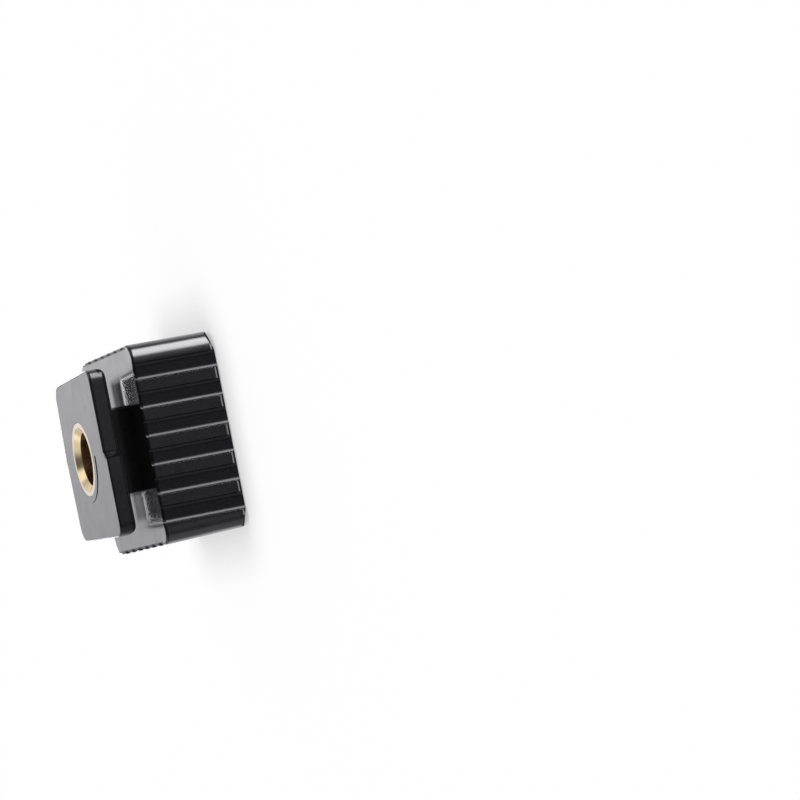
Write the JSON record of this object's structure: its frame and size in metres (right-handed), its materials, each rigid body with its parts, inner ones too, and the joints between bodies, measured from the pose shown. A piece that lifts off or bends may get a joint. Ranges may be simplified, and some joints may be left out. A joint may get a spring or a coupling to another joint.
{
  "type": "hot shoe adapter",
  "caption": "Black moulded shoe foot on a grooved square grip block, with a brass bushing through it that takes a tripod screw.",
  "frame": {"origin": "centre of the block's flat seat face, on the insert's axis", "axes": "+Z along the insert from the seat face to the foot's face, +X along the foot towards its wide entry end, +Y across the foot"},
  "size_m": [0.0222, 0.0222, 0.0141],
  "materials": {
    "body_plastic": "satin moulded black plastic",
    "insert_brass": "turned and threaded brass"
  },
  "bodies": {
    "root": {"adapter_body": "body_plastic", "threaded_insert": "insert_brass"}
  },
  "joints": []
}
